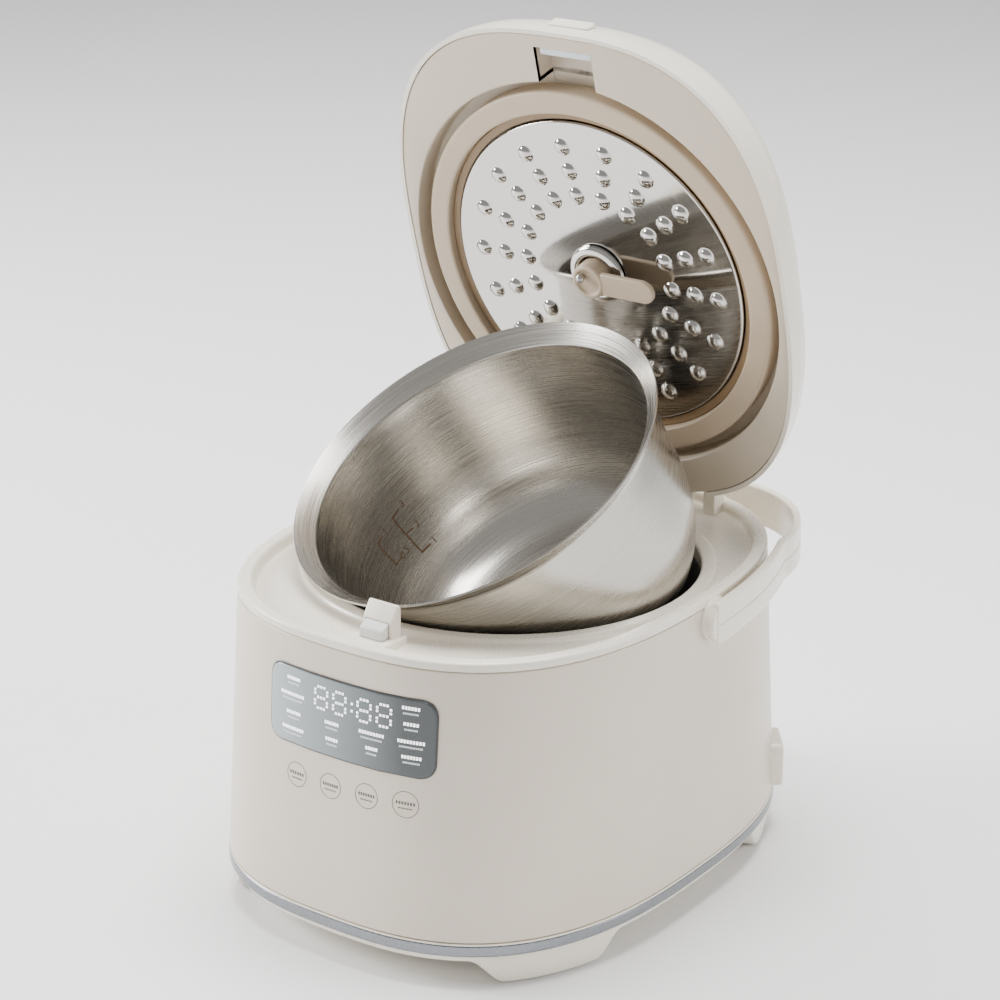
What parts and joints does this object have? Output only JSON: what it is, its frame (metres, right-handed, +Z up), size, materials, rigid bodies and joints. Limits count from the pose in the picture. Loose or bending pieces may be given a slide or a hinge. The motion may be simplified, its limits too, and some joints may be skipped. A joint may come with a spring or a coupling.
{
  "type": "rice cooker",
  "caption": "Countertop rice cooker: rounded shell, hinged lid held open, steel pot propped in the well, carry handle, display window and spring latch.",
  "frame": {"origin": "on the floor under the middle of the bounding box", "axes": "+Z up, +Y to the back where the lid is hinged, -Y to the front panel, +X to the right seen from the front"},
  "size_m": [0.2662, 0.3268, 0.4689],
  "materials": {
    "pearl_shell": "satin pearl",
    "cream_plastic": "gloss",
    "lid_plastic": "semi-gloss",
    "silver_trim": "satin metallic",
    "pot_steel": "brushed",
    "plate_steel": "mirror polished",
    "aluminium": "satin",
    "silicone": "matt",
    "rubber_pad": "matt",
    "smoked_window": "mirror gloss",
    "circuit_board": "matt",
    "black_plastic": "matt",
    "hardware_steel": "plain"
  },
  "bodies": {
    "cooker": {"outer_shell": "pearl_shell", "top_frame": "cream_plastic", "trim_ring": "silver_trim", "base_tray": "cream_plastic", "well_liner": "aluminium", "heating_plate": "aluminium", "power_inlet": "cream_plastic", "inlet_pin_1": "hardware_steel", "inlet_pin_2": "hardware_steel", "display_window": "smoked_window", "display_module": "black_plastic", "control_board": "circuit_board", "power_board": "circuit_board", "latch_post": "cream_plastic", "hinge_pin": "hardware_steel", "hinge_spring": "hardware_steel", "handle_boss_left": "cream_plastic", "handle_pin_left": "hardware_steel", "handle_boss_right": "cream_plastic", "handle_pin_right": "hardware_steel", "sensor_spring": "hardware_steel", "sensor_bracket": "hardware_steel", "foot_pad_1": "rubber_pad", "base_screw_1": "hardware_steel", "foot_pad_2": "rubber_pad", "base_screw_2": "hardware_steel", "foot_pad_3": "rubber_pad", "base_screw_3": "hardware_steel", "foot_pad_4": "rubber_pad", "base_screw_4": "hardware_steel"},
    "sensor": {"sensor_cap": "aluminium"},
    "pot": {"inner_pot": "pot_steel"},
    "handle": {"carry_handle": "cream_plastic"},
    "catch": {"latch_catch": "silicone"},
    "lid": {"lid_cover": "lid_plastic", "lid_frame": "lid_plastic", "seal_holder": "silicone", "lid_gasket": "silicone", "latch_striker": "cream_plastic"},
    "plate": {"inner_plate": "plate_steel", "valve_ring": "plate_steel", "valve_cap": "silicone", "valve_tab": "silicone"},
    "float": {"float_pin": "hardware_steel"},
    "vent": {"steam_cap": "lid_plastic"},
    "release": {"release_button": "cream_plastic"}
  },
  "joints": [
    {"name": "lid_hinge", "type": "hinge", "parent": "cooker", "child": "lid", "pos_m": [0, 0.1327, 0.2005], "axis": [1, 0, 0], "range_deg": [0, 9.5], "stiffness_Nm_per_rad": 1.2, "springref_deg": -40.11},
    {"name": "pot_tip", "type": "hinge", "parent": "cooker", "child": "pot", "pos_m": [0, -0.12931, 0.15736], "axis": [-0.9457, 0.3149, 0.08], "range_deg": [0, 31.14]},
    {"name": "handle_swing", "type": "hinge", "parent": "cooker", "child": "handle", "pos_m": [0, 0.0141, 0.1672], "axis": [1, 0, 0], "range_deg": [0, 12]},
    {"name": "latch_slide", "type": "slide", "parent": "cooker", "child": "catch", "axis": [0, 1, 0], "range_m": [0, 0.0022], "stiffness_N_per_m": 400, "springref_m": -0.001},
    {"name": "sensor_press", "type": "slide", "parent": "cooker", "child": "sensor", "axis": [0, 0, -1], "range_m": [0, 0.0026], "deforming": ["sensor_spring"]},
    {"name": "plate_slide", "type": "slide", "parent": "lid", "child": "plate", "axis": [0, -0.9627, -0.2706], "range_m": [0, 0.012]},
    {"name": "pin_float", "type": "slide", "parent": "plate", "child": "float", "axis": [0, 0.9627, 0.2706], "range_m": [0, 0.003]},
    {"name": "cap_lift", "type": "slide", "parent": "lid", "child": "vent", "axis": [0, 0.9627, 0.2706], "range_m": [0, 0.01]},
    {"name": "release_slide", "type": "slide", "parent": "lid", "child": "release", "axis": [0, 0.2706, -0.9627], "range_m": [0, 0.0025], "stiffness_N_per_m": 300, "springref_m": -0.002}
  ],
  "couplings": [
    {"joint": "sensor_press", "follows": "pot_tip", "m_per_rad": 0.004779}
  ]
}
